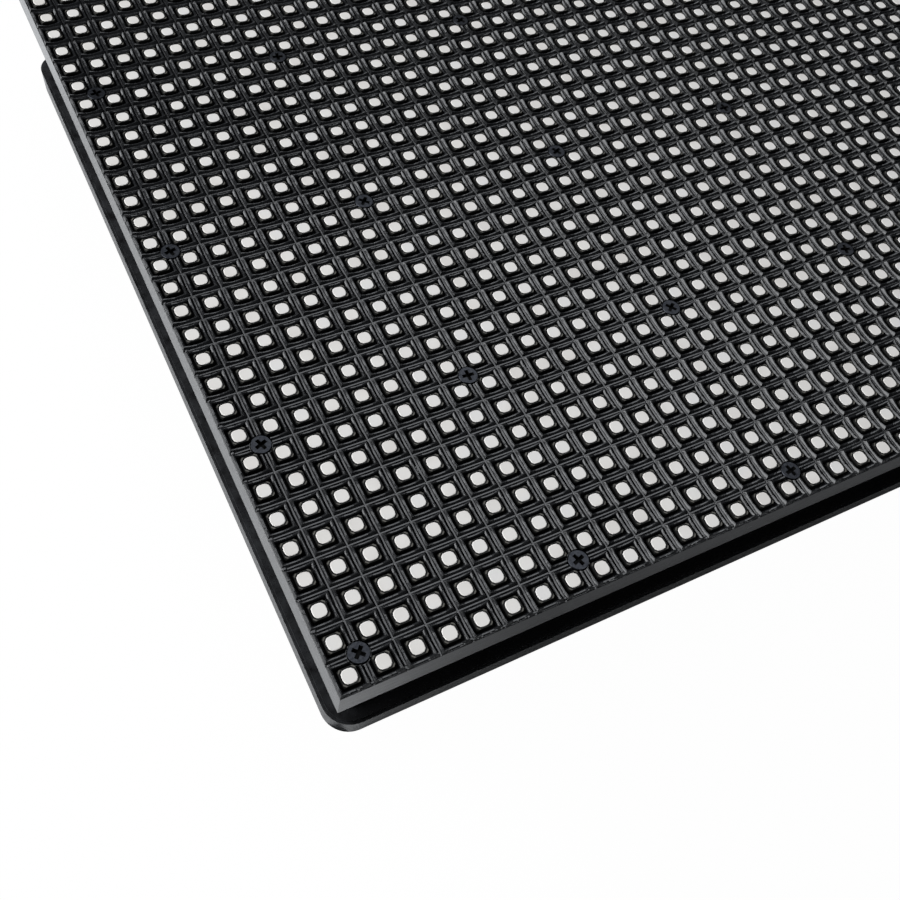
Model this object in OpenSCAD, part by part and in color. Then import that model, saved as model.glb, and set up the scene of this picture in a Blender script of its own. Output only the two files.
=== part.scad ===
// Outdoor RGB LED matrix panel: 64 by 32 lamps under a black mask, on a sealed rear case.
// Millimetres. X runs along the long side, Y along the short side, and the lamps face +Z.
// The origin is the middle of the rear rim's flat face, on which the panel rests.

/* [Lamps] */
// Distance from lamp to lamp, both ways
pitch = 5; // [4.5:0.1:6]
// Lamps along the long side
columns = 64; // [48:8:64]
// Lamps along the short side
rows = 32; // [24:8:32]
// Side of the square lamp package
lamp_w = 2.7; // [2:0.1:3]
// Height of the lamp package
lamp_h = 1.9; // [1.4:0.1:2.4]
// Thickness of the solder under a lamp
solder_t = 0.05; // [0.02:0.01:0.1]
// How far the lamps lie below the mask's ribs
lamp_recess = 0.1; // [0:0.05:0.5]

/* [Mask] */
// Gap between a lamp and the walls of its well
well_gap = 0.35; // [0.25:0.05:0.5]
// How far the frames round the lamps stand above the mask's ribs
frame_h = 0.5; // [0.3:0.1:0.8]
// Width of a frame's wall
frame_wall = 0.5; // [0.4:0.05:0.6]
// Gap between the mask's edge and the panel's nominal edge
edge_gap = 0.1; // [0:0.05:0.3]
// Height of the mask's side wall
mask_side_h = 6.5; // [5:0.5:9]
// Thickness of the mask's side wall
mask_wall = 1.6; // [1.2:0.1:2]

/* [Circuit board] */
// Thickness of the circuit board
pcb_t = 1.6; // [1:0.2:2.4]
// Gap between the board's edge and the mask's wall
pcb_gap = 0.3; // [0.2:0.1:0.6]

/* [Rear case] */
// Height from the rear rim's face to the lower face of the board
case_h = 20.2; // [18:0.2:26]
// Thickness of the case's side wall
case_wall = 2; // [1.6:0.2:3]
// Height of the rear rim
rim_h = 4.9; // [4:0.1:6]
// How far the rear rim stands back from the mask's side
rim_inset = 0.1; // [0:0.05:0.5]
// Radius of the rear rim's upright corners
rim_corner_r = 4.7; // [4:0.1:6]
// Rounding of the rim's upper edge
rim_edge_r = 0.5; // [0.2:0.1:0.8]
// Depth of the rear panel below the rim's face
panel_recess = 3; // [2.5:0.25:3.5]
// Thickness of the rear panel
panel_t = 2; // [1.6:0.2:3]
// Thickness of the ribs on the rear panel
rib_t = 1.2; // [0.8:0.1:1.6]
// How far the ribs stand back from the rim's face
rib_recess = 0.6; // [0.3:0.1:1]

/* [Seal] */
// Width of the groove for the seal
seal_groove_w = 2; // [1.6:0.1:2.4]
// Depth of the groove for the seal
seal_groove_d = 2.4; // [2:0.1:3]
// How far the seal lies below the rim's face
seal_recess = 0.2; // [0.1:0.1:0.5]
// Gap between the seal and its groove's sides
seal_gap = 0.1; // [0.05:0.05:0.2]

/* [Mask screws] */
// Lamps between two screws
screw_step = 8; // [8:8:16]
// Gap between a screw's head and the corners of the four lamps round it
head_gap = 0.03; // [0.02:0.01:0.1]
// Height of a screw's head
screw_head_h = 0.9; // [0.7:0.1:1.1]
// Diameter of a screw's shank
screw_d = 1.9; // [1.7:0.1:2]
// Length of a screw under its head
screw_l = 11; // [9:0.5:13]
// Gap round a screw's shank and head
screw_gap = 0.1; // [0.05:0.05:0.15]
// Radius of a screw's boss in the case
boss_r = 2.2; // [2:0.1:2.4]
// Case wall outside the outermost screw bosses
boss_cover = 0.2; // [0.1:0.1:0.4]

/* [Fixing points] */
// Distance between the outer threaded inserts along X
insert_span_x = 240; // [220:1:260]
// Distance between the threaded inserts along Y
insert_span_y = 120; // [110:1:124]
// Diameter of the insert's tapped hole
insert_bore_d = 3.3; // [3:0.1:3.5]
// Outer diameter of an insert
insert_d = 6; // [5.6:0.1:6.4]
// Length of an insert
insert_l = 8; // [7:0.5:9]
// Wall of the bosses round inserts and locating holes
boss_wall = 1.6; // [1.4:0.1:2]
// Diameter of a locating hole
locator_d = 4.1; // [3.6:0.1:4.6]
// Depth of a locating hole
locator_l = 8; // [6:0.5:9]
// Distance of a locating hole from the panel's nominal edge
locator_edge = 12; // [11.5:0.5:13]

/* [Connectors] */
// Width of a ribbon header's shroud
ribbon_w = 8.9; // [8.5:0.1:9.3]
// Length of a ribbon header's shroud
ribbon_l = 28.2; // [27.6:0.1:29]
// Height of a ribbon header's shroud
ribbon_h = 9.1; // [8.5:0.1:9.5]
// Wall of a ribbon header's shroud
ribbon_wall = 1.2; // [1:0.1:1.4]
// Floor of a ribbon header's shroud
ribbon_floor = 2.5; // [2:0.1:3]
// Width of the key slot in a ribbon header
key_slot_w = 4.5; // [4:0.1:5]
// Distance between two ribbon pins
ribbon_pitch = 2.54; // [2.4:0.01:2.6]
// Thickness of a ribbon pin
ribbon_pin_t = 0.64; // [0.5:0.02:0.7]
// Pairs of pins in a ribbon header
ribbon_pairs = 8; // [6:1:8]
// How far the ribbon pins lie below the shroud's mouth
ribbon_pin_recess = 1; // [0.8:0.1:1.5]
// Width of the power header's base
power_w = 8.5; // [8:0.1:9]
// Length of the power header's base
power_l = 19.7; // [19:0.1:20.5]
// Thickness of the power header's base
power_base_h = 3.2; // [2.8:0.1:3.6]
// Height of the power header's locking wall
power_lock_h = 10; // [9:0.1:11]
// Thickness of the power header's locking wall
power_lock_t = 1.2; // [1:0.1:1.5]
// Distance between two power pins
power_pitch = 3.96; // [3.9:0.01:4.05]
// Number of power pins
power_pins = 4; // [3:1:4]
// Thickness of a power pin
power_pin_t = 1.14; // [0.9:0.02:1.2]
// Height of a power pin from the board
power_pin_h = 11.5; // [10:0.5:12]
// Gap round a pin in its header
pin_gap = 0.03; // [0.02:0.01:0.05]
// Space round a header inside its window
window_gap = 3; // [2.5:0.1:3.4]
// Wall of the collar round a window
collar_wall = 1.4; // [1.2:0.1:1.6]
// Gap between a collar's top and the board
collar_gap = 0.3; // [0.2:0.1:0.4]

/* [Circuit] */
// Length of a driver chip
driver_l = 8.7; // [8:0.1:9]
// Width of a driver chip
driver_w = 3.9; // [3.5:0.1:4.5]
// Thickness of the chips
chip_t = 1.6; // [1.2:0.1:2]
// Driver chips along the board
driver_columns = 12; // [8:1:12]
// Side of a row switch chip
switch_w = 4.9; // [4.5:0.1:5]
// Length of a buffer chip
buffer_l = 12.8; // [12:0.1:13]
// Width of a buffer chip
buffer_w = 7.5; // [7:0.1:8]
// Diameter of a smoothing capacitor
capacitor_d = 8; // [6:0.5:8]
// Height of a smoothing capacitor
capacitor_h = 10; // [8:0.5:10.5]
// Side of a ceramic capacitor
ceramic_w = 2; // [1.5:0.1:2.5]
// Thickness of a ceramic capacitor
ceramic_t = 0.8; // [0.6:0.1:1.2]

/* [Hidden] */
$fn = 48;
// An overlap for cuts that pass through a face
cut = 1;

// The wells, and the screw heads that fit between the corners of four lamps
well_w = lamp_w + 2 * well_gap;
slot_x = (columns - 1) * pitch + well_w;
screw_head_d = sqrt(2) * (pitch - lamp_w) - 2 * head_gap;

// Overall outlines, seen from the front
nominal_x = columns * pitch;
nominal_y = rows * pitch;
mask_x = nominal_x - 2 * edge_gap;
mask_y = nominal_y - 2 * edge_gap;
mask_in_x = mask_x - 2 * mask_wall;
mask_in_y = mask_y - 2 * mask_wall;
pcb_x = mask_in_x - 2 * pcb_gap;
pcb_y = mask_in_y - 2 * pcb_gap;
rim_x = mask_x - 2 * rim_inset;
rim_y = mask_y - 2 * rim_inset;

// The outermost screws lie one lamp in from the edge, and the case's wall passes just outside them
neck_x = nominal_x - 2 * pitch + 2 * (boss_r + boss_cover);
neck_y = nominal_y - 2 * pitch + 2 * (boss_r + boss_cover);
hollow_x = neck_x - 2 * case_wall;
hollow_y = neck_y - 2 * case_wall;
neck_inset = (rim_x - neck_x) / 2;
neck_corner_r = max(rim_corner_r - neck_inset, 1);
hollow_corner_r = max(neck_corner_r - case_wall, 0.6);

// Heights above the rear rim's face
pcb_bottom = case_h;
pcb_top = pcb_bottom + pcb_t;
lamp_bottom = pcb_top + solder_t;
lamp_top = lamp_bottom + lamp_h;
mask_top = lamp_top + lamp_recess;
frame_top = mask_top + frame_h;
mask_bottom = mask_top - mask_side_h;
panel_bottom = panel_recess;
panel_top = panel_bottom + panel_t;
collar_top = pcb_bottom - collar_gap;

// Screws
screw_hole_d = screw_d + 2 * screw_gap;
head_seat_d = screw_head_d + 2 * screw_gap;
head_bottom = mask_top - screw_head_h;
screw_tip = head_bottom - screw_l;
// The clear room round a lamp where a screw's boss reaches into its well
lamp_room = lamp_w + 2 * screw_gap;
screw_columns = concat([1], [for (k = [screw_step : screw_step : columns - screw_step]) k], [columns - 1]);
screw_rows = concat([1], [for (k = [screw_step : screw_step : rows - screw_step]) k], [rows - 1]);
rib_columns = [for (k = [screw_step : screw_step : columns - screw_step]) k];

// Inserts stand at the crossings of the rear ribs, and the headers lie between two lines of screws
rib_step = insert_span_x / 6;
screw_bay = screw_step * pitch;
data_x = 2.5 * screw_bay;
power_x = 0.5 * screw_bay;
insert_boss_d = insert_d + 2 * boss_wall;
locator_boss_d = locator_d + 2 * boss_wall;
locator_x = nominal_x / 2 - locator_edge;
boss_roof = boss_wall;
insert_gap = 0.02;

seal_mid_x = (rim_x + hollow_x) / 2;
seal_mid_y = (rim_y + hollow_y) / 2;
seal_corner_r = (rim_corner_r + hollow_corner_r) / 2;

// Chips keep clear of the lines of screws
driver_step = hollow_x / (driver_columns + 0.5);
driver_y = [0.68 * screw_bay, 1.45 * screw_bay];
switch_x = [1.25 * screw_bay, 1.75 * screw_bay];
switch_y = 0.33 * screw_bay;
buffer_x = [1.5 * screw_bay, 3.5 * screw_bay];
capacitor_x = [-0.35 * screw_bay, -0.65 * screw_bay];
capacitor_y = 0.2 * screw_bay;

// The place of a line between lamps, counted from the left or front edge
function line_x(k) = k * pitch - nominal_x / 2;
function line_y(k) = k * pitch - nominal_y / 2;
// The place of a lamp, counted from zero
function lamp_x(i) = line_x(i + 0.5);
function lamp_y(j) = line_y(j + 0.5);

// A rectangle with round corners, centred
module rounded(x, y, r) {
    square([x - 2 * r, y], center = true);
    square([x, y - 2 * r], center = true);
    for (sx = [-1, 1], sy = [-1, 1])
        translate([sx * (x / 2 - r), sy * (y / 2 - r)]) circle(r);
}

// A block from one height to another
module slab(x, y, z0, z1) {
    translate([-x / 2, -y / 2, z0]) cube([x, y, z1 - z0]);
}

// A round bar from one height to another
module bar(d, z0, z1) {
    translate([0, 0, z0]) cylinder(h = z1 - z0, d = d);
}

module at_rows() {
    for (j = [0 : rows - 1])
        translate([0, lamp_y(j), 0]) children();
}

module at_screws() {
    for (i = screw_columns, j = screw_rows)
        translate([line_x(i), line_y(j), 0]) children();
}

module at_inserts() {
    for (kx = [-3, 0, 3], sy = [-1, 1])
        translate([kx * rib_step, sy * insert_span_y / 2, 0]) children();
}

module at_locators() {
    for (sx = [-1, 1])
        translate([sx * locator_x, 0, 0]) children();
}

// The mask's face is a plate, cut into one slot for each row of lamps, and a raised frame runs round each row.
// Its sides are moulded in one with it
module mask() {
    color([0.06, 0.06, 0.065]) difference() {
        union() {
            difference() {
                union() {
                    slab(mask_x, mask_y, pcb_top, mask_top);
                    at_rows() slab(slot_x + 2 * frame_wall, well_w + 2 * frame_wall, pcb_top, frame_top);
                }
                at_rows() slab(slot_x, well_w, pcb_top - cut, frame_top + cut);
            }
            for (i = rib_columns)
                translate([line_x(i), 0, 0]) slab(pitch - well_w, mask_in_y + mask_wall, pcb_top, mask_top);
            at_screws() screw_seat();
        }
        at_screws() {
            bar(screw_hole_d, pcb_top - cut, mask_top + cut);
            bar(head_seat_d, head_bottom, frame_top + cut);
        }
    }
}

// The ring under a screw's head, with its corners cut back from the four lamps round it
module screw_seat() {
    difference() {
        bar(head_seat_d + pitch - well_w, pcb_top, mask_top);
        for (sx = [-1, 1], sy = [-1, 1])
            translate([sx * pitch / 2, sy * pitch / 2, 0])
                slab(lamp_room, lamp_room, pcb_top - cut, mask_top + cut);
    }
}

// The mask's side walls, from the board's upper face down
module mask_sides() {
    color([0.06, 0.06, 0.065]) difference() {
        slab(mask_x, mask_y, mask_bottom, pcb_top);
        slab(mask_in_x, mask_in_y, mask_bottom - cut, pcb_top + cut);
    }
}

module lamp_rows(first, last) {
    for (i = [first : last], j = [0 : rows - 1])
        translate([lamp_x(i), lamp_y(j), 0]) slab(lamp_w, lamp_w, lamp_bottom, lamp_top);
}

module lamps_left() {
    color([0.86, 0.84, 0.8]) lamp_rows(0, floor(columns / 2) - 1);
}

module lamps_right() {
    color([0.86, 0.84, 0.8]) lamp_rows(floor(columns / 2), columns - 1);
}

module circuit_board() {
    color([0.03, 0.04, 0.035]) difference() {
        slab(pcb_x, pcb_y, pcb_bottom, pcb_top);
        at_screws() bar(screw_hole_d, pcb_bottom - cut, pcb_top + cut);
    }
}

// The case is a tray that is open to the board, with a rim round its rear face
module rear_case() {
    color([0.05, 0.05, 0.055]) difference() {
        union() {
            case_shell();
            rear_ribs();
            fixing_bosses();
            collars();
        }
        case_holes();
    }
}

// The bosses that take the mask's screws stand on the rear panel and run into the side wall, moulded in one
// with the case
module case_bosses() {
    color([0.05, 0.05, 0.055]) difference() {
        at_screws() difference() {
            bar(2 * boss_r, panel_top, pcb_bottom);
            bar(screw_hole_d, screw_tip - cut, pcb_bottom + cut);
        }
        insert_seats();
    }
}

module case_shell() {
    difference() {
        union() {
            linear_extrude(pcb_bottom) rounded(neck_x, neck_y, neck_corner_r);
            linear_extrude(rim_h - rim_edge_r) rounded(rim_x, rim_y, rim_corner_r);
            linear_extrude(rim_h)
                rounded(rim_x - 2 * rim_edge_r, rim_y - 2 * rim_edge_r, rim_corner_r - rim_edge_r);
        }
        translate([0, 0, panel_top])
            linear_extrude(pcb_bottom) rounded(hollow_x, hollow_y, hollow_corner_r);
        translate([0, 0, panel_bottom - panel_recess - cut])
            linear_extrude(panel_recess + cut) rounded(hollow_x, hollow_y, hollow_corner_r);
        seal_path(seal_groove_w, -cut, seal_groove_d);
    }
}

// Ribs on the rear panel, through the insert bosses
module rear_ribs() {
    for (k = [-3 : 3])
        translate([k * rib_step, 0, 0]) slab(rib_t, hollow_y + case_wall, rib_recess, panel_top);
    for (sy = [-1, 1])
        translate([0, sy * insert_span_y / 2, 0]) slab(hollow_x + case_wall, rib_t, rib_recess, panel_top);
}

module fixing_bosses() {
    at_inserts() bar(insert_boss_d, 0, insert_l + boss_roof);
    at_locators() bar(locator_boss_d, 0, locator_l + boss_roof);
}

module insert_seats() {
    at_inserts() bar(insert_d + 2 * insert_gap, -cut, insert_l);
}

module case_holes() {
    at_screws() bar(2 * boss_r, panel_top, pcb_bottom + cut);
    insert_seats();
    at_locators() bar(locator_d, -cut, locator_l);
    for (sx = [-1, 1]) translate([sx * data_x, 0, 0]) window(ribbon_w, ribbon_l);
    translate([power_x, 0, 0]) window(power_w, power_l);
}

// The hole through the rear panel and its collar for a header of this size
module window(x, y) {
    slab(x + 2 * window_gap, y + 2 * window_gap, -cut, pcb_bottom + cut);
}

module collar(x, y) {
    side = 2 * (window_gap + collar_wall);
    slab(x + side, y + side, rib_recess, collar_top);
}

module collars() {
    for (sx = [-1, 1]) translate([sx * data_x, 0, 0]) collar(ribbon_w, ribbon_l);
    translate([power_x, 0, 0]) collar(power_w, power_l);
}

// A ring of this width along the middle of the rim
module seal_path(w, z0, z1) {
    translate([0, 0, z0]) linear_extrude(z1 - z0) difference() {
        rounded(seal_mid_x + w, seal_mid_y + w, seal_corner_r + w / 2);
        rounded(seal_mid_x - w, seal_mid_y - w, seal_corner_r - w / 2);
    }
}

module seal_ring() {
    color([0.16, 0.16, 0.17]) seal_path(seal_groove_w - 2 * seal_gap, seal_recess, seal_groove_d);
}

module mask_screws() {
    color([0.08, 0.08, 0.085]) at_screws() {
        bar(screw_head_d, head_bottom, lamp_top);
        bar(screw_d, screw_tip, head_bottom);
    }
}

module threaded_inserts() {
    color([0.72, 0.58, 0.3]) at_inserts() difference() {
        bar(insert_d, 0, insert_l);
        bar(insert_bore_d, -cut, insert_l + cut);
    }
}

// The box round the pins of a ribbon header, open towards the rear, with a key slot in one side
module ribbon_shroud() {
    mouth = pcb_bottom - ribbon_h;
    difference() {
        slab(ribbon_w, ribbon_l, mouth, pcb_bottom);
        slab(ribbon_w - 2 * ribbon_wall, ribbon_l - 2 * ribbon_wall, mouth - cut, pcb_bottom - ribbon_floor);
        translate([ribbon_w / 2, 0, 0]) slab(4 * ribbon_wall, key_slot_w, mouth - cut, pcb_bottom - ribbon_floor);
        at_ribbon_pins()
            slab(ribbon_pin_t + 2 * pin_gap, ribbon_pin_t + 2 * pin_gap, mouth, pcb_bottom + cut);
    }
}

module at_ribbon_pins() {
    for (sx = [-0.5, 0.5], k = [0 : ribbon_pairs - 1])
        translate([sx * ribbon_pitch, (k - (ribbon_pairs - 1) / 2) * ribbon_pitch, 0]) children();
}

module ribbon_pin_set() {
    at_ribbon_pins()
        slab(ribbon_pin_t, ribbon_pin_t, pcb_bottom - ribbon_h + ribbon_pin_recess, pcb_bottom);
}

module data_in_shroud() {
    color([0.1, 0.1, 0.11]) translate([-data_x, 0, 0]) ribbon_shroud();
}

module data_in_pins() {
    color([0.8, 0.66, 0.32]) translate([-data_x, 0, 0]) ribbon_pin_set();
}

module data_out_shroud() {
    color([0.1, 0.1, 0.11]) translate([data_x, 0, 0]) ribbon_shroud();
}

module data_out_pins() {
    color([0.8, 0.66, 0.32]) translate([data_x, 0, 0]) ribbon_pin_set();
}

module at_power_pins() {
    for (k = [0 : power_pins - 1])
        translate([power_x, (k - (power_pins - 1) / 2) * power_pitch, 0]) children();
}

module power_header() {
    color([0.85, 0.83, 0.76]) difference() {
        union() {
            translate([power_x, 0, 0]) slab(power_w, power_l, pcb_bottom - power_base_h, pcb_bottom);
            translate([power_x - power_w / 2 + power_lock_t / 2, 0, 0])
                slab(power_lock_t, power_l, pcb_bottom - power_lock_h, pcb_bottom);
        }
        at_power_pins()
            slab(power_pin_t + 2 * pin_gap, power_pin_t + 2 * pin_gap, pcb_bottom - power_lock_h, pcb_bottom + cut);
    }
}

module power_pins_set() {
    color([0.78, 0.78, 0.76]) at_power_pins()
        slab(power_pin_t, power_pin_t, pcb_bottom - power_pin_h, pcb_bottom);
}

module driver_chips() {
    color([0.07, 0.07, 0.07])
        for (i = [0 : driver_columns - 1], y = driver_y, sy = [-1, 1])
            translate([(i - (driver_columns - 1) / 2) * driver_step, sy * y, 0])
                slab(driver_l, driver_w, pcb_bottom - chip_t, pcb_bottom);
}

module row_switch_chips() {
    color([0.07, 0.07, 0.07])
        for (x = switch_x, sx = [-1, 1], sy = [-1, 1])
            translate([sx * x, sy * switch_y, 0]) slab(switch_w, switch_w, pcb_bottom - chip_t, pcb_bottom);
}

module buffer_chips() {
    color([0.07, 0.07, 0.07])
        for (x = buffer_x, sx = [-1, 1])
            translate([sx * x, 0, 0]) slab(buffer_l, buffer_w, pcb_bottom - chip_t, pcb_bottom);
}

module smoothing_capacitors() {
    color([0.7, 0.7, 0.72])
        for (x = capacitor_x, sy = [-1, 1])
            translate([x, sy * capacitor_y, 0]) bar(capacitor_d, pcb_bottom - capacitor_h, pcb_bottom);
}

module ceramic_capacitors() {
    color([0.55, 0.45, 0.35])
        for (i = [0 : driver_columns - 1], y = driver_y, sy = [-1, 1])
            translate([(i - (driver_columns - 1) / 2) * driver_step, sy * (y - driver_w), 0])
                slab(ceramic_w, ceramic_w, pcb_bottom - ceramic_t, pcb_bottom);
}

mask();
mask_sides();
lamps_left();
lamps_right();
circuit_board();
rear_case();
case_bosses();
seal_ring();
mask_screws();
threaded_inserts();
data_in_shroud();
data_in_pins();
data_out_shroud();
data_out_pins();
power_header();
power_pins_set();  // power_pins
driver_chips();
row_switch_chips();
buffer_chips();
smoothing_capacitors();
ceramic_capacitors();
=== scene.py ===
import math
import random

import bpy
import bmesh
import numpy as np
from mathutils import Euler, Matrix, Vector


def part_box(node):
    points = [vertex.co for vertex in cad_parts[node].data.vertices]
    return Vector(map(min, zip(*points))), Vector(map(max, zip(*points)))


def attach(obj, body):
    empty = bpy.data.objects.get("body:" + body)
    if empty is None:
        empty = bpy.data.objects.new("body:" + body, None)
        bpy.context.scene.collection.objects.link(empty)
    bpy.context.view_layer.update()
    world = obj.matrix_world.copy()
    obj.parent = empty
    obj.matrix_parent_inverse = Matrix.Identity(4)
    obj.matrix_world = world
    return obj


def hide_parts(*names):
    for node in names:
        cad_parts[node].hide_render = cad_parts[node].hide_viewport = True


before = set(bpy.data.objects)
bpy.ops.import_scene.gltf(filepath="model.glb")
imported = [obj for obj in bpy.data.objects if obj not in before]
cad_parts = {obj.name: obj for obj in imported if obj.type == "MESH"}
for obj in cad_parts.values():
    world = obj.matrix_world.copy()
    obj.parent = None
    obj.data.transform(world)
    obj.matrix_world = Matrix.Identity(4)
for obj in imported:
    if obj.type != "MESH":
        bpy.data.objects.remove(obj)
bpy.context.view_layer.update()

MM = 0.001
TAU = 2 * math.pi

# Sizes, in millimetres like the part's source
PITCH = 5.0
COLUMNS = 64
ROWS = 32
SCREW_STEP = 8
LAMP_W = 2.7
LENS_W = 2.11
LENS_POWER = 3.0
RIB_W = 0.3
RIDGE_H = 0.48
RIDGE_DIP = 0.36
RIDGE_OUT = 2.05
RIDGE_IN = 1.87
OUTER_FOOT = 2.3
INNER_FOOT = 1.7
OUTER_FALL = 0.33
INNER_FALL = 0.19
RIB_RISE = 0.08
RIB_SHIFT = 0.08
LAMP_TAPER = 0.18
GROOVE_DEPTH = 0.7
GEL_DEPTH = 1.15
LAMP_RISE = 0.4
EDGE_CHAMFER = 0.05
SEAT_R = 1.78
SKIRT_T = 1.6
SKIRT_CHAMFER = 0.1
STRIP_X = 0.4
STRIP_Y = 0.21
MARK_D = 1.2
BURRS_LONG = 260
BURRS_SHORT = 90
CROSS_L = 2.0
CROSS_W = 0.6

random.seed(7)


def node_box(name):
    """A node's lowest and highest corners in millimetres."""
    lo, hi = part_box(name)
    return [c / MM for c in lo], [c / MM for c in hi]


MASK_LO, MASK_HI = node_box("mask_sides")
FACE_Z = node_box("mask")[1][2] - 0.5
LAMP_LO, LAMP_HI = node_box("lamps_left")
BOARD_LO, BOARD_HI = node_box("circuit_board")
SCREW_LO, SCREW_HI = node_box("mask_screws")
LAMP_Z = FACE_Z + LAMP_RISE
BOARD_Z = BOARD_HI[2]
HEAD_D = 2 * (SCREW_HI[0] - (COLUMNS / 2 - 1) * PITCH)
HEAD_Z = FACE_Z + 0.2


def line_at(k, count):
    """The place of the line before lamp k, with zero in the middle."""
    return (k - count / 2) * PITCH


def lamp_centres(first=0, last=COLUMNS):
    return [
        (line_at(i + 0.5, COLUMNS), line_at(j + 0.5, ROWS))
        for i in range(first, last)
        for j in range(ROWS)
    ]


SCREW_COLUMNS = [1, *range(SCREW_STEP, COLUMNS, SCREW_STEP), COLUMNS - 1]
SCREW_ROWS = [1, *range(SCREW_STEP, ROWS, SCREW_STEP), ROWS - 1]
SEAT_Z = FACE_Z - 0.28


def screw_centres():
    return [(line_at(i, COLUMNS), line_at(j, ROWS)) for i in SCREW_COLUMNS for j in SCREW_ROWS]


# Mesh helpers


class Shape:
    """Points and faces in millimetres, gathered before a mesh is made."""

    def __init__(self):
        self.points = []
        self.faces = []
        self.kinds = []

    def ring(self, outline, z):
        """Adds a ring of points, with one height or one height each, and returns their numbers."""
        start = len(self.points)
        heights = z if isinstance(z, (list, tuple)) else [z] * len(outline)
        self.points += [(x, y, h) for (x, y), h in zip(outline, heights)]
        return list(range(start, len(self.points)))

    def band(self, low, high, kind=0):
        """Joins two rings of like or unlike counts, where the greater count is a multiple of the smaller."""
        n, m = len(low), len(high)
        if n == m:
            for k in range(n):
                q = (k + 1) % n
                self.add((low[k], low[q], high[q], high[k]), kind)
            return
        step = max(n, m) // min(n, m)
        for k in range(min(n, m)):
            q = (k + 1) % min(n, m)
            if n < m:
                fan = [high[(k * step + s) % m] for s in range(step + 1)]
                self.add((low[k], low[q], *reversed(fan)), kind)
            else:
                fan = [low[(k * step + s) % n] for s in range(step + 1)]
                self.add((*fan, high[q], high[k]), kind)

    def cap(self, ring, kind=0):
        self.add(tuple(ring), kind)

    def add(self, face, kind=0):
        self.faces.append(face)
        self.kinds.append(kind)


def square(w, per_side=1):
    """A centred square, anticlockwise from its low corner, with points along each side."""
    h = w / 2
    corners = [(-h, -h), (h, -h), (h, h), (-h, h)]
    out = []
    for k in range(4):
        (x0, y0), (x1, y1) = corners[k], corners[(k + 1) % 4]
        out += [(x0 + (x1 - x0) * s / per_side, y0 + (y1 - y0) * s / per_side) for s in range(per_side)]
    return out


def cut_square(w, cut):
    """A square whose corners are cut off, starting before its low corner."""
    h = w / 2
    out = []
    for quarter in range(4):
        for x, y in ((-h, -h + cut), (-h + cut, -h)):
            for _ in range(quarter):
                x, y = -y, x
            out.append((x, y))
    return out


def squircle(w, count, power=3.6, shift=0.0):
    """A square with fully rounded corners, whose first point is near its low corner."""
    out = []
    for k in range(count):
        a = -0.75 * math.pi + TAU * (k - shift) / count
        c, s = math.cos(a), math.sin(a)
        r = (abs(c) ** power + abs(s) ** power) ** (-1 / power)
        out.append((w / 2 * r * c, w / 2 * r * s))
    return out


def circle(d, count, start=0.0):
    return [(d / 2 * math.cos(start + TAU * k / count), d / 2 * math.sin(start + TAU * k / count)) for k in range(count)]


def clipped_circle(d, count, room):
    """A circle whose four diagonal bulges stop at a lamp's clear room."""
    out = []
    for k in range(count):
        a = TAU * k / count
        c, s = abs(math.cos(a)), abs(math.sin(a))
        r = min(d / 2, max(room / max(c, 1e-6), room / max(s, 1e-6)))
        out.append((r * math.cos(a), r * math.sin(a)))
    return out


def repeated(shape, places, turns=None):
    """The shape's points and faces at each place, turned about Z where turns are given."""
    base = np.array(shape.points)
    out = []
    for n, (x, y) in enumerate(places):
        p = base.copy()
        if turns:
            c, s = math.cos(turns[n]), math.sin(turns[n])
            p[:, 0], p[:, 1] = c * base[:, 0] - s * base[:, 1], s * base[:, 0] + c * base[:, 1]
        p[:, 0] += x
        p[:, 1] += y
        out.append(p)
    size = len(base)
    whole = Shape()
    whole.points = np.concatenate(out).tolist()
    whole.faces = [tuple(v + n * size for v in f) for n in range(len(places)) for f in shape.faces]
    whole.kinds = shape.kinds * len(places)
    return whole


def make(name, shape, materials, stands_for=(), weld=False, smooth=False):
    mesh = bpy.data.meshes.new(name)
    mesh.from_pydata([(x * MM, y * MM, z * MM) for x, y, z in shape.points], [], shape.faces)
    for m in materials:
        mesh.materials.append(m)
    mesh.polygons.foreach_set("material_index", shape.kinds)
    mesh.polygons.foreach_set("use_smooth", [smooth] * len(shape.faces))
    if weld:
        bm = bmesh.new()
        bm.from_mesh(mesh)
        bmesh.ops.remove_doubles(bm, verts=bm.verts, dist=1e-6)
        bm.to_mesh(mesh)
        bm.free()
    mesh.update()
    piece = bpy.data.objects.new(name, mesh)
    bpy.context.scene.collection.objects.link(piece)
    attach(piece, "root")
    if stands_for:
        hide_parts(*stands_for)
    return piece


# Materials


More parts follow.
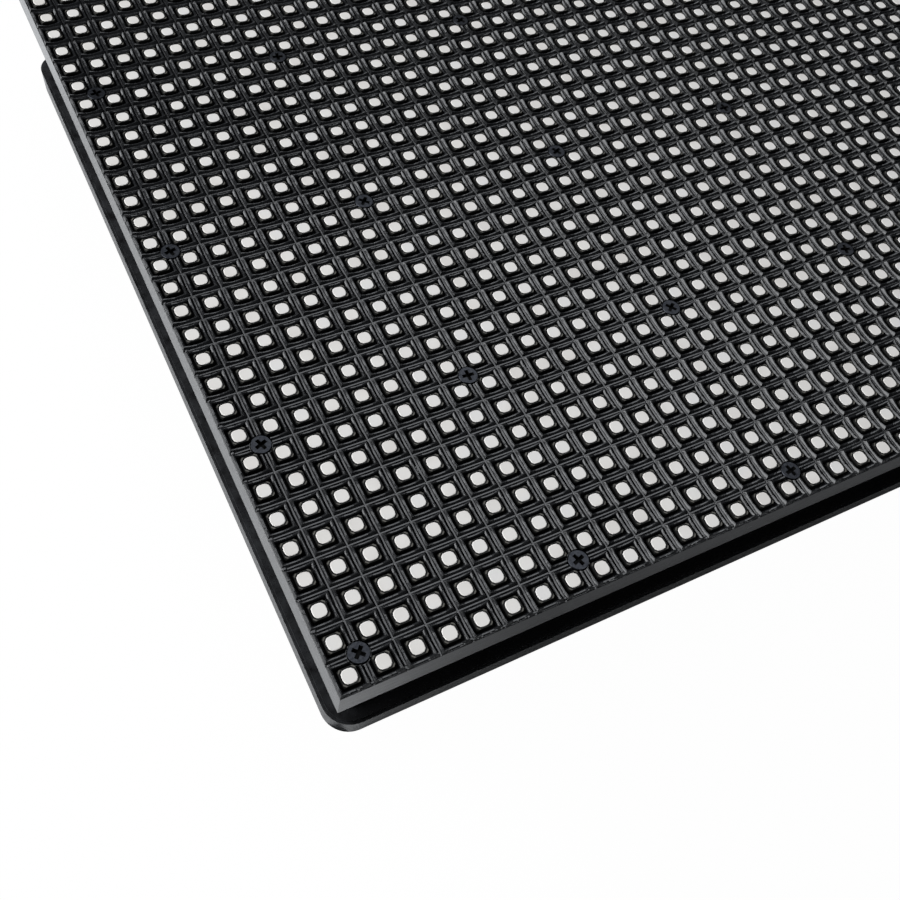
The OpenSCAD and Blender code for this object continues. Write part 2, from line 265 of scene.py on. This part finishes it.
class Material:
    """A Principled material whose colour, roughness and bump come from noise in object space."""

    def __init__(self, name, metallic=0.0, ior=1.5, coat=0.0):
        self.m = bpy.data.materials.new(name)
        self.m.use_nodes = True
        self.tree = self.m.node_tree
        self.shader = self.tree.nodes["Principled BSDF"]
        self.shader.inputs["Metallic"].default_value = metallic
        self.shader.inputs["IOR"].default_value = ior
        self.shader.inputs["Coat Weight"].default_value = coat
        self.where = self.tree.nodes.new("ShaderNodeTexCoord").outputs["Object"]

    def node(self, kind, **values):
        n = self.tree.nodes.new(kind)
        for key, value in values.items():
            setattr(n, key, value)
        return n

    def link(self, a, b):
        self.tree.links.new(a, b)

    def noise(self, per_mm, detail=3.0, stretch=(1, 1, 1)):
        """Noise with about this many cells to a millimetre."""
        place = self.node("ShaderNodeMapping")
        place.inputs["Scale"].default_value = stretch
        self.link(self.where, place.inputs["Vector"])
        n = self.node("ShaderNodeTexNoise")
        n.inputs["Scale"].default_value = per_mm / MM
        n.inputs["Detail"].default_value = detail
        self.link(place.outputs["Vector"], n.inputs["Vector"])
        return n.outputs["Fac"]

    def far_along(self, axis):
        """The distance from the object's middle along one axis."""
        split = self.node("ShaderNodeSeparateXYZ")
        self.link(self.where, split.inputs[0])
        away = self.node("ShaderNodeMath", operation="ABSOLUTE")
        self.link(split.outputs[axis], away.inputs[0])
        return away.outputs[0]

    def between(self, value, low, high):
        """Rises from 0 to 1 as the value goes from low to high."""
        r = self.node("ShaderNodeMapRange")
        r.inputs["From Min"].default_value = low
        r.inputs["From Max"].default_value = high
        self.link(value, r.inputs["Value"])
        return r.outputs["Result"]

    def times(self, a, b):
        product = self.node("ShaderNodeMath", operation="MULTIPLY")
        self.link(a, product.inputs[0])
        self.link(b, product.inputs[1])
        return product.outputs[0]

    def ramp(self, fac, stops):
        r = self.node("ShaderNodeValToRGB")
        while len(r.color_ramp.elements) < len(stops):
            r.color_ramp.elements.new(0.5)
        for e, (at, colour) in zip(r.color_ramp.elements, stops):
            e.position = at
            e.color = (*colour, 1)
        self.link(fac, r.inputs["Fac"])
        return r.outputs["Color"]

    def colour(self, fac, stops):
        self.link(self.ramp(fac, stops), self.shader.inputs["Base Color"])
        return self

    def roughness(self, fac, low, high):
        r = self.node("ShaderNodeMapRange")
        r.inputs["To Min"].default_value = low
        r.inputs["To Max"].default_value = high
        self.link(fac, r.inputs["Value"])
        self.link(r.outputs["Result"], self.shader.inputs["Roughness"])
        return self

    def bump(self, fac, depth_mm, strength=1.0):
        b = self.node("ShaderNodeBump")
        b.inputs["Strength"].default_value = strength
        b.inputs["Distance"].default_value = depth_mm * MM
        self.link(fac, b.inputs["Height"])
        self.link(b.outputs["Normal"], self.shader.inputs["Normal"])
        return self


def moulded(name, dark, light, rough, grain=3.0, depth=0.02, ior=1.5, patches=0.05):
    """Moulded plastic: a slow change of tone, and a fine grain in the surface."""
    m = Material(name, ior=ior)
    tone = m.noise(patches, 4.0)
    fine = m.noise(grain, 2.0)
    return m.colour(tone, [(0.3, dark), (0.7, light)]).roughness(fine, *rough).bump(fine, depth).m


def metal(name, dark, light, rough, grain=2.0, depth=0.01, stretch=(1, 1, 1)):
    m = Material(name, metallic=1.0)
    fine = m.noise(grain, 3.0, stretch)
    return m.colour(fine, [(0.3, dark), (0.7, light)]).roughness(fine, *rough).bump(fine, depth).m


MASK = moulded("mask_black", (0.005, 0.0053, 0.006), (0.01, 0.0105, 0.0115), (0.2, 0.36), 2.2, 0.03)
GEL = moulded("well_gel_black", (0.001, 0.001, 0.001), (0.002, 0.002, 0.002), (0.3, 0.5), 0.7, 0.05, 1.3)
PACKAGE = moulded("lamp_black", (0.0015, 0.0015, 0.0015), (0.004, 0.004, 0.0035), (0.5, 0.65), 2.0, 0.01, 1.2)
CORNER = moulded("lamp_corner", (0.05, 0.048, 0.041), (0.1, 0.094, 0.08), (0.4, 0.55), 1.2, 0.01, 1.3)
PACKAGE_EDGE = moulded("lamp_edge", (0.003, 0.003, 0.003), (0.016, 0.015, 0.013), (0.4, 0.55), 1.2, 0.01, 1.3)
BOARD = moulded("board_black", (0.004, 0.006, 0.005), (0.012, 0.016, 0.013), (0.3, 0.45), 1.0, 0.02)
SEAL = moulded("seal_grey", (0.06, 0.06, 0.064), (0.1, 0.1, 0.105), (0.6, 0.8), 1.5, 0.03)
HEADER_BLACK = moulded("header_black", (0.015, 0.015, 0.016), (0.03, 0.03, 0.032), (0.35, 0.55), 3.0, 0.015)
HEADER_CREAM = moulded("header_cream", (0.62, 0.58, 0.48), (0.74, 0.7, 0.6), (0.3, 0.45), 2.0, 0.012)
CHIP = moulded("chip_black", (0.012, 0.012, 0.013), (0.022, 0.022, 0.023), (0.5, 0.7), 5.0, 0.012)
CERAMIC = moulded("ceramic_brown", (0.3, 0.2, 0.12), (0.42, 0.3, 0.2), (0.35, 0.5), 2.0, 0.01)
SCREW = metal("screw_black", (0.013, 0.014, 0.017), (0.036, 0.038, 0.043), (0.32, 0.5), 3.0, 0.02)
# painted shade: the screw's cross recess is coloured near black in place of the screw's metal
RECESS_PAINTED_SHADE = moulded("screw_recess_painted_shade", (0.001, 0.001, 0.001), (0.003, 0.003, 0.003), (0.6, 0.8), 3.0, 0.01, 1.2)
BRASS = metal("insert_brass", (0.5, 0.34, 0.12), (0.8, 0.6, 0.28), (0.2, 0.4), 0.8, 0.02, (1, 1, 6))
GOLD = metal("pin_gold", (0.75, 0.55, 0.2), (0.9, 0.72, 0.34), (0.18, 0.32), 1.5, 0.006)
TIN = metal("pin_tin", (0.55, 0.55, 0.54), (0.76, 0.76, 0.75), (0.25, 0.4), 1.5, 0.008)
CAN = metal("capacitor_can", (0.6, 0.6, 0.61), (0.78, 0.78, 0.79), (0.2, 0.35), 1.2, 0.006, (1, 1, 0.1))


def resin(name, share):
    """Frosted resin that differs a little from lamp to lamp."""
    m = Material(name, ior=1.45)
    lamp_to_lamp = m.noise(0.13, 1.0)
    tones = [(0.3, (0.655, 0.624, 0.588)), (0.5, (0.715, 0.688, 0.652)), (0.7, (0.695, 0.678, 0.657))]
    m.colour(lamp_to_lamp, [(at, [share * c for c in tone]) for at, tone in tones])
    fine = m.noise(3.0, 2.0)
    return m.roughness(fine, 0.4, 0.6).bump(fine, 0.01).m


LENS = resin("lens_white", 0.84)
# painted highlight: the lens's rim is the lens resin made lighter, share 1.0 against the lens's 0.84
LENS_RIM_HIGHLIGHT = resin("lens_rim_painted_highlight", 1.0)


def case_material():
    """Moulded black, with painted light: paler patches near the panel's two short ends that brighten the recess as if
    lit from the left.
    """
    m = Material("case_black")
    fine = m.noise(2.6, 2.0)
    patches = m.noise(0.5, 5.0)
    # painted light: the case turns paler in patches near both short ends, standing in for the left lamp's light in the
    # recess
    painted_light = m.times(m.between(m.far_along(0), 0.155, 0.158), m.between(patches, 0.3, 0.7))
    m.colour(painted_light, [(0.0, (0.0045, 0.0045, 0.005)), (1.0, (0.026, 0.027, 0.029))])
    return m.roughness(fine, 0.22, 0.36).bump(fine, 0.015).m


def side_material():
    """The mask's side: black with streaks that run along the wall."""
    m = Material("mask_side_black", ior=1.55)
    streaks = m.noise(1.1, 4.0, (0.16, 0.16, 1))
    m.colour(streaks, [(0.4, (0.003, 0.0033, 0.004)), (0.7, (0.045, 0.047, 0.05))])
    return m.roughness(streaks, 0.12, 0.34).bump(streaks, 0.03).m


CASE = case_material()
MASK_SIDE = side_material()


# The mask: thin ribs on the lines between lamps, a square frame round each lamp, and a side wall


def is_screw_line(i, j):
    return i in SCREW_COLUMNS and j in SCREW_ROWS


def turned(x, y, quarter):
    """The point turned by this many quarter turns."""
    for _ in range(quarter % 4):
        x, y = -y, x
    return x, y


def rib_bar(s, length_from, length_to, at, quarter):
    """One rib between two crossings: a flat top, two chamfers and two walls. Those along Y stand higher."""
    top, wall = RIB_W / 2 - EDGE_CHAMFER, RIB_W / 2
    level = FACE_Z + (RIB_RISE if quarter else 0)
    profile = [
        (-wall, FACE_Z - GROOVE_DEPTH), (-wall, level - EDGE_CHAMFER), (-top, level),
        (top, level), (wall, level - EDGE_CHAMFER), (wall, FACE_Z - GROOVE_DEPTH),
    ]
    rings = []
    for along in (length_from, length_to):
        rings.append(len(s.points))
        for across, z in profile:
            x, y = turned(along, across - (RIB_SHIFT if quarter else 0), quarter)
            s.points.append((x + at[0], y + at[1], z))
    for k in range(len(profile) - 1):
        s.add((rings[0] + k, rings[1] + k, rings[1] + k + 1, rings[0] + k + 1))


def ribs():
    """Ribs run to the next crossing, or to a screw's seat."""
    s = Shape()
    inner = RIB_W / 2 - EDGE_CHAMFER

    def ends(first_is_screw, last_is_screw):
        return (SEAT_R - 0.03 if first_is_screw else inner), PITCH - (SEAT_R - 0.03 if last_is_screw else inner)

    for i in range(1, COLUMNS):
        for j in range(ROWS):
            low, high = ends(is_screw_line(i, j), is_screw_line(i, j + 1))
            rib_bar(s, low, high, (line_at(i, COLUMNS), line_at(j, ROWS)), 1)
    for j in range(1, ROWS):
        for i in range(COLUMNS):
            low, high = ends(is_screw_line(i, j), is_screw_line(i + 1, j))
            rib_bar(s, low, high, (line_at(i, COLUMNS), line_at(j, ROWS)), 0)
    for i in range(1, COLUMNS):
        for j in range(1, ROWS):
            if not is_screw_line(i, j):
                x, y = line_at(i, COLUMNS) + RIB_SHIFT, line_at(j, ROWS)
                s.cap(s.ring([(x + a, y + b) for a, b in square(2 * inner)], FACE_Z + RIB_RISE))
    return s


def frame_side(cut_low, cut_high, steps):
    """One side of the frame round a lamp, at +X of it, cut short where a screw's seat is in the way.
    It is a ridge that is highest at the corners and dips in the middle. Small heights are falls from its top."""
    s = Shape()
    profile = [
        (PITCH / 2 - RIB_W / 2, FACE_Z - GROOVE_DEPTH),
        (OUTER_FOOT, FACE_Z - GROOVE_DEPTH),
        (OUTER_FOOT, OUTER_FALL),
        (RIDGE_OUT, 0),
        (RIDGE_IN, 0),
        (INNER_FOOT, INNER_FALL),
        (INNER_FOOT, FACE_Z - GEL_DEPTH - 0.1),
    ]
    rings = []
    for away, z in profile:
        low = -seat_reach(away) if cut_low else -away
        high = seat_reach(away) if cut_high else away
        row = [low + (high - low) * k / steps for k in range(steps + 1)]
        rings.append([len(s.points) + k for k in range(steps + 1)])
        s.points += [(away, y, ridge_height(y) - z if z < RIDGE_H else z) for y in row]
    for a, b in zip(rings, rings[1:]):
        for k in range(steps):
            s.add((a[k], a[k + 1], b[k + 1], b[k]))
    return s


def seat_reach(away):
    """How far along a side of the frame, at this distance from its lamp, a screw's seat begins."""
    across = PITCH / 2 - away
    return PITCH / 2 - math.sqrt(SEAT_R ** 2 - across ** 2) + 0.03


def ridge_height(along):
    """The ridge's height at this distance from the middle of its side."""
    t = min(abs(along) / RIDGE_IN, 1)
    return FACE_Z + RIDGE_H - RIDGE_DIP * (1 - t * t)


def cell_corner_is_screw(i, j):
    """For each of a lamp's corners, anticlockwise from its low corner, whether a screw stands there."""
    return [is_screw_line(i + a, j + b) for a, b in ((0, 0), (1, 0), (1, 1), (0, 1))]


def frames(first, last):
    """The frames of these columns of lamps."""
    sides = {(a, b): frame_side(a, b, 4) for a in (False, True) for b in (False, True)}
    groups = {}
    for i in range(first, last):
        for j in range(ROWS):
            screws = cell_corner_is_screw(i, j)
            for quarter in range(4):
                key = (screws[(quarter + 1) % 4], screws[(quarter + 2) % 4])
                groups.setdefault(key, []).append((line_at(i + 0.5, COLUMNS), line_at(j + 0.5, ROWS), quarter))
    parts = []
    for key, places in groups.items():
        turns = [q * TAU / 4 for _, _, q in places]
        parts.append(repeated(sides[key], [(x, y) for x, y, _ in places], turns))
    return joined(*parts)


def screw_seat():
    """The ring that a screw's head sits in, cut back from the four lamps round it."""
    s = Shape()
    count = 48
    room = (PITCH - LAMP_W) / 2 - 0.06
    outer = clipped_circle(2 * SEAT_R, count, room)
    inner = clipped_circle(HEAD_D + 0.14, count, room - 0.02)
    low = FACE_Z - GEL_DEPTH - 0.1
    edge = s.ring(outer, low)
    shoulder = s.ring(outer, SEAT_Z - 0.05)
    top = s.ring(clipped_circle(2 * SEAT_R - 0.08, count, room - 0.01), SEAT_Z)
    mouth = s.ring(inner, SEAT_Z)
    floor = s.ring(inner, low)
    s.band(edge, shoulder)
    s.band(shoulder, top)
    s.band(top, mouth)
    s.band(mouth, floor)
    s.cap(floor)
    return s


def round_mark():
    """A small round pin mark that crosses a rib, with a dark ring round it."""
    s = Shape()
    count = 16
    foot = s.ring(circle(MARK_D, count), FACE_Z - GROOVE_DEPTH)
    rim = s.ring(circle(MARK_D, count), FACE_Z + 0.0)
    inner = s.ring(circle(MARK_D - 0.3, count), FACE_Z)
    deep = s.ring(circle(MARK_D - 0.34, count), FACE_Z - 0.35)
    core = s.ring(circle(MARK_D - 0.6, count), FACE_Z - 0.35)
    crown = s.ring(circle(MARK_D - 0.64, count), FACE_Z - 0.06)
    for a, b in ((foot, rim), (rim, inner), (inner, deep), (deep, core), (core, crown)):
        s.band(a, b)
    s.cap(crown)
    return s


def mark_centres():
    half = COLUMNS // 2
    out = []
    for start in (0, half):
        for column, row in ((5, 5), (10, 7), (half - 10, 7), (half - 5, 5)):
            for r in (row, ROWS - 1 - row):
                out.append((line_at(start + column, COLUMNS), line_at(r + 0.5, ROWS)))
    return out


def within_mask(x, y):
    far_x, far_y = MASK_HI[0] - 0.02, MASK_HI[1] - 0.02
    return max(-far_x, min(far_x, x)), max(-far_y, min(far_y, y))


def edge_knobs():
    """Burrs and swellings where the ribs run into the mask's edge strip, each a little different."""
    s = Shape()
    places = [(line_at(i, COLUMNS), side * (ROWS * PITCH / 2 - 0.5), 1) for i in range(1, COLUMNS) for side in (-1, 1)]
    places += [(side * (COLUMNS * PITCH / 2 - 0.62), line_at(j, ROWS), 1) for j in range(1, ROWS) for side in (-1, 1)]
    for side in (-1, 1):
        for _ in range(BURRS_LONG):
            places.append((random.uniform(-0.99, 0.99) * COLUMNS * PITCH / 2, side * (ROWS * PITCH / 2 - 0.36), 0.5))
        for _ in range(BURRS_SHORT):
            places.append((side * (COLUMNS * PITCH / 2 - 0.5), random.uniform(-0.98, 0.98) * ROWS * PITCH / 2, 0.5))
    for x, y, size in places:
        x, y = x + random.uniform(-0.08, 0.08), y + random.uniform(-0.1, 0.1)
        long_x = size * random.uniform(0.6, 1.3)
        long_y = size * random.uniform(0.5, 0.9)
        crown_z = FACE_Z + random.uniform(0.05, 0.35)
        for_ring = [within_mask(x + a * long_x, y + b * long_y) for a, b in circle(1, 8, random.random())]
        foot = s.ring(for_ring, FACE_Z - 0.3)
        brow = s.ring([(x + 0.85 * (a - x), y + 0.85 * (b - y)) for a, b in for_ring], crown_z - 0.08)
        crown = s.ring([(x + 0.45 * (a - x), y + 0.45 * (b - y)) for a, b in for_ring], crown_z)
        s.band(foot, brow)
        s.band(brow, crown)
        s.cap(crown)
    return s


def rectangle(x, y):
    return [(-x, -y), (x, -y), (x, y), (-x, y)]


def skirt():
    """The mask's side walls, from the face's edge down and up again inside."""
    s = Shape()
    x, y = MASK_HI[0], MASK_HI[1]
    nominal_x, nominal_y = COLUMNS * PITCH / 2, ROWS * PITCH / 2
    groove = s.ring(rectangle(nominal_x - STRIP_X, nominal_y - STRIP_Y), FACE_Z - GROOVE_DEPTH)
    strip_wall = s.ring(rectangle(nominal_x - STRIP_X, nominal_y - STRIP_Y), FACE_Z - 0.05)
    strip = s.ring(rectangle(nominal_x - STRIP_X - 0.03, nominal_y - STRIP_Y - 0.03), FACE_Z)
    face = s.ring(rectangle(x - SKIRT_CHAMFER, y - SKIRT_CHAMFER), FACE_Z)
    shoulder = s.ring(rectangle(x, y), FACE_Z - SKIRT_CHAMFER)
    foot = s.ring(rectangle(x, y), MASK_LO[2] + 0.1)
    under = s.ring(rectangle(x - 0.1, y - 0.1), MASK_LO[2])
    under_in = s.ring(rectangle(x - SKIRT_T, y - SKIRT_T), MASK_LO[2])
    roof = s.ring(rectangle(x - SKIRT_T, y - SKIRT_T), BOARD_Z + 0.1)
    for a, b in ((groove, strip_wall), (strip_wall, strip), (strip, face), (face, shoulder)):
        s.band(a, b)
    for a, b in ((shoulder, foot), (foot, under), (under, under_in), (under_in, roof)):
        s.band(a, b, 1)
    return s


def joined(*shapes):
    out = Shape()
    for s in shapes:
        shift = len(out.points)
        out.points += list(s.points)
        out.faces += [tuple(v + shift for v in f) for f in s.faces]
        out.kinds += s.kinds
    return out


def make_mask():
    seats = repeated(screw_seat(), screw_centres())
    marks = repeated(round_mark(), mark_centres())
    half = COLUMNS // 2
    make("mask_ribs", joined(ribs(), seats, marks, edge_knobs()), [MASK], ["mask"])
    make("mask_skirt", skirt(), [MASK, MASK_SIDE], ["mask", "mask_sides"])
    make("mask_frames_left", frames(0, half), [MASK], ["mask"])
    make("mask_frames_right", frames(half, COLUMNS), [MASK], ["mask"])


# The lamps: a square black package with a frosted lens let into its top, standing in black gel


def lamp():
    """A lamp's package is kind 0, its lens 1, its lighter upper edge 2, its pale corners 3 and the lens's rim 4,
    painted lighter than the lens as a highlight.
    """
    s = Shape()
    shoulder_z = LAMP_Z - 0.25
    rim_z = LAMP_Z - 0.05
    foot = s.ring(cut_square(LAMP_W, 0.22), FACE_Z - GEL_DEPTH - 0.1)
    shoulder = s.ring(cut_square(LAMP_W, 0.22), shoulder_z)
    top = s.ring(cut_square(LAMP_W - LAMP_TAPER, 0.3), rim_z)
    inset = s.ring(cut_square(LAMP_W - LAMP_TAPER - 0.08, 0.5), rim_z)
    lens_edge = s.ring(squircle(LENS_W, 16, LENS_POWER, 0.5), rim_z)
    lens_top = s.ring(squircle(LENS_W - 0.14, 16, LENS_POWER, 0.5), LAMP_Z)
    s.band(foot, shoulder)
    s.band(shoulder, top)
    for k in range(8):
        q = (k + 1) % 8
        s.add((top[k], top[q], inset[q], inset[k]), 2 if k % 2 else 3)
    s.band(inset, lens_edge)
    # painted highlight: the lens's rim takes kind 4, the lighter copy of the resin
    s.band(lens_edge, lens_top, 4)
    s.cap(lens_top, 1)
    return s


def make_lamps():
    half = COLUMNS // 2
    one = lamp()
    for name, first, last in (("left", 0, half), ("right", half, COLUMNS)):
        make(f"lamp_set_{name}", repeated(one, lamp_centres(first, last)), [PACKAGE, LENS, PACKAGE_EDGE, CORNER, LENS_RIM_HIGHLIGHT],
             [f"lamps_{name}"])


def make_gel():
    """Black gel fills the foot of each well and creeps a little up the lamp and the walls."""
    s = Shape()
    z = FACE_Z - GEL_DEPTH
    wall = s.ring(square(2 * INNER_FOOT + 0.04), z + 0.1)
    middle = s.ring(square(INNER_FOOT + LAMP_W / 2), z)
    lamp_side = s.ring(square(LAMP_W - 0.04), z + 0.08)
    s.band(wall, middle)
    s.band(middle, lamp_side)
    make("well_gel", repeated(s, lamp_centres()), [GEL])


# The mask's screws, each with a cross recess turned at random


def cross_outline(length, width):
    """A cross's outline, with wings of this length from tip to tip."""
    a, b = length / 2, width / 2
    out = []
    for k in range(4):
        c, s = math.cos(k * TAU / 4), math.sin(k * TAU / 4)
        for x, y in ((b, -b), (a, -b), (a, b)):
            out.append((c * x - s * y, s * x + c * y))
    return out


def screw_head():
    s = Shape()
    count = 36
    head_low = FACE_Z - 0.9
    foot = s.ring(circle(HEAD_D, count), head_low)
    shoulder = s.ring(circle(HEAD_D, count), HEAD_Z - 0.1)
    top = s.ring(circle(HEAD_D - 0.16, count), HEAD_Z)
    s.band(foot, shoulder)
    s.band(shoulder, top)
    mouth = s.ring(cross_outline(CROSS_L, CROSS_W), HEAD_Z)
    floor = s.ring(cross_outline(CROSS_L - 0.3, CROSS_W - 0.1), HEAD_Z - 0.75)
    # painted shade: the cross recess takes kind 1, the near-black finish
    s.band(floor, mouth, 1)
    s.cap(floor, 1)
    hub = [mouth[k] for k in range(0, 12, 3)]
    # The flat ring of the head between its edge and the cross, one quarter at a time
    quarter = count // 4
    for k in range(4):
        tip_low, tip_high = mouth[3 * k + 1], mouth[3 * k + 2]
        first = (k * quarter) % count
        arc = [top[(first + q) % count] for q in range(quarter + 1)]
        s.add((tip_low, arc[0], tip_high))
        s.add((tip_high, *arc[0:quarter + 1], mouth[(3 * k + 4) % 12], hub[(k + 1) % 4]))
    shank_top = s.ring(circle(1.9, 16), head_low)
    tip = s.ring(circle(1.9, 16), SCREW_LO[2] + 1)
    point = s.ring(circle(0.4, 16), SCREW_LO[2])
    s.band(tip, shank_top)
    s.band(point, tip)
    s.cap(list(reversed(point)))
    return s


def make_screws():
    places = screw_centres()
    turns = [random.uniform(0, TAU) for _ in places]
    make("screw_set", repeated(screw_head(), places, turns), [SCREW, RECESS_PAINTED_SHADE], ["mask_screws"])


# Finishes of the nodes that keep their own solids

FINISHES = {
    "circuit_board": BOARD,
    "rear_case": CASE,
    "case_bosses": CASE,
    "seal_ring": SEAL,
    "threaded_inserts": BRASS,
    "data_in_shroud": HEADER_BLACK,
    "data_in_pins": GOLD,
    "data_out_shroud": HEADER_BLACK,
    "data_out_pins": GOLD,
    "power_header": HEADER_CREAM,
    "power_pins": TIN,
    "driver_chips": CHIP,
    "row_switch_chips": CHIP,
    "buffer_chips": CHIP,
    "smoothing_capacitors": CAN,
    "ceramic_capacitors": CERAMIC,
}


def finish_nodes():
    for name, material in FINISHES.items():
        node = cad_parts[name]
        node.data.materials.clear()
        node.data.materials.append(material)


# Camera, lights and floor

CAMERA_AT = (-0.17739, -0.10641, 0.13677)
CAMERA_TURN = (26.850, -6.613, -25.804)
CAMERA_LENS = 35.304
SENSOR = 36.0
CAMERA_SHIFT = (0.04696, 0.08333)


def make_camera():
    data = bpy.data.cameras.new("camera")
    data.sensor_width = SENSOR
    data.lens = CAMERA_LENS
    data.shift_x, data.shift_y = CAMERA_SHIFT
    data.clip_start = 0.005
    camera = bpy.data.objects.new("camera", data)
    camera.location = CAMERA_AT
    camera.rotation_euler = Euler([math.radians(a) for a in CAMERA_TURN], "XYZ")
    bpy.context.scene.collection.objects.link(camera)
    bpy.context.scene.camera = camera


def lamp_panel(name, at, target, size, colour, power):
    data = bpy.data.lights.new(name, "AREA")
    data.color = colour
    data.shape = "RECTANGLE"
    data.size, data.size_y = size
    data.energy = power
    light = bpy.data.objects.new(name, data)
    light.location = at
    light.rotation_euler = (Vector(target) - Vector(at)).to_track_quat("-Z", "Y").to_euler()
    bpy.context.scene.collection.objects.link(light)


def make_lights():
    lamp_panel("overhead", (0.3, 0.4, 1.1), (0, 0, 0), (1.0, 0.9), (0.9, 0.93, 0.97), 10)
    lamp_panel("left_side", (-0.8, 0.15, 0.36), (-0.12, 0, 0), (0.9, 0.62), (0.96, 0.98, 1.0), 12)
    lamp_panel("underneath", (0, 0, -0.5), (0, 0, 0), (0.28, 0.14), (1.0, 1.0, 1.0), 5)


def make_world():
    world = bpy.data.worlds.new("studio")
    world.use_nodes = True
    tree = world.node_tree
    tree.nodes.clear()
    out = tree.nodes.new("ShaderNodeOutputWorld")
    soft = tree.nodes.new("ShaderNodeBackground")
    soft.inputs["Color"].default_value = (0.9, 0.95, 1.0, 1)
    soft.inputs["Strength"].default_value = 0.03
    white = tree.nodes.new("ShaderNodeBackground")
    white.inputs["Color"].default_value = (1, 1, 1, 1)
    white.inputs["Strength"].default_value = 1.0
    path = tree.nodes.new("ShaderNodeLightPath")
    mix = tree.nodes.new("ShaderNodeMixShader")
    tree.links.new(path.outputs["Is Camera Ray"], mix.inputs["Fac"])
    tree.links.new(soft.outputs["Background"], mix.inputs[1])
    tree.links.new(white.outputs["Background"], mix.inputs[2])
    tree.links.new(mix.outputs["Shader"], out.inputs["Surface"])
    bpy.context.scene.world = world


def floor_material():
    """A white sweep: mostly plain white to the camera, with a share that takes the panel's shadow, and clear from below."""
    m = bpy.data.materials.new("floor_white")
    m.use_nodes = True
    tree = m.node_tree
    tree.nodes.clear()
    out = tree.nodes.new("ShaderNodeOutputMaterial")
    matt = tree.nodes.new("ShaderNodeBsdfDiffuse")
    place = tree.nodes.new("ShaderNodeTexCoord")
    split = tree.nodes.new("ShaderNodeSeparateXYZ")
    tree.links.new(place.outputs["Object"], split.inputs[0])
    # painted shade: the floor's colour falls from 0.8 beside the panel's left end to 0.36 elsewhere, so it throws less
    # bounce light on the panel except at its left
    painted_bounce_shade = tree.nodes.new("ShaderNodeMapRange")
    painted_bounce_shade.inputs["From Min"].default_value = -0.165
    painted_bounce_shade.inputs["From Max"].default_value = -0.12
    painted_bounce_shade.inputs["To Min"].default_value = 0.8
    painted_bounce_shade.inputs["To Max"].default_value = 0.36
    tree.links.new(split.outputs[0], painted_bounce_shade.inputs["Value"])
    tree.links.new(painted_bounce_shade.outputs["Result"], matt.inputs["Color"])
    glow = tree.nodes.new("ShaderNodeEmission")
    glow.inputs["Color"].default_value = (1, 1, 1, 1)
    glow.inputs["Strength"].default_value = 1.0
    path = tree.nodes.new("ShaderNodeLightPath")
    share = tree.nodes.new("ShaderNodeMath")
    share.operation = "MULTIPLY"
    share.inputs[1].default_value = 0.985
    mix = tree.nodes.new("ShaderNodeMixShader")
    tree.links.new(path.outputs["Is Camera Ray"], share.inputs[0])
    tree.links.new(share.outputs[0], mix.inputs["Fac"])
    tree.links.new(matt.outputs["BSDF"], mix.inputs[1])
    tree.links.new(glow.outputs["Emission"], mix.inputs[2])
    clear = tree.nodes.new("ShaderNodeBsdfTransparent")
    below = tree.nodes.new("ShaderNodeNewGeometry")
    seen = tree.nodes.new("ShaderNodeMixShader")
    tree.links.new(below.outputs["Backfacing"], seen.inputs["Fac"])
    tree.links.new(mix.outputs["Shader"], seen.inputs[1])
    tree.links.new(clear.outputs["BSDF"], seen.inputs[2])
    tree.links.new(seen.outputs["Shader"], out.inputs["Surface"])
    return m


def make_floor():
    size = 3.0
    mesh = bpy.data.meshes.new("floor")
    h = size / 2
    # the floor is open where the panel stands on it, so that the panel's back takes light in views from below
    a = 0.1595
    b = 0.0795
    outer = [(-h, -h, 0), (h, -h, 0), (h, h, 0), (-h, h, 0)]
    inner = [(-a, -b, 0), (a, -b, 0), (a, b, 0), (-a, b, 0)]
    faces = [(i, (i + 1) % 4, 4 + (i + 1) % 4, 4 + i) for i in range(4)]
    mesh.from_pydata(outer + inner, [], faces)
    mesh.materials.append(floor_material())
    floor = bpy.data.objects.new("floor", mesh)
    bpy.context.scene.collection.objects.link(floor)


make_camera()
make_world()
make_lights()
make_floor()
make_mask()
make_lamps()
make_gel()
make_screws()
finish_nodes()

bpy.context.scene.view_settings.view_transform = "Standard"
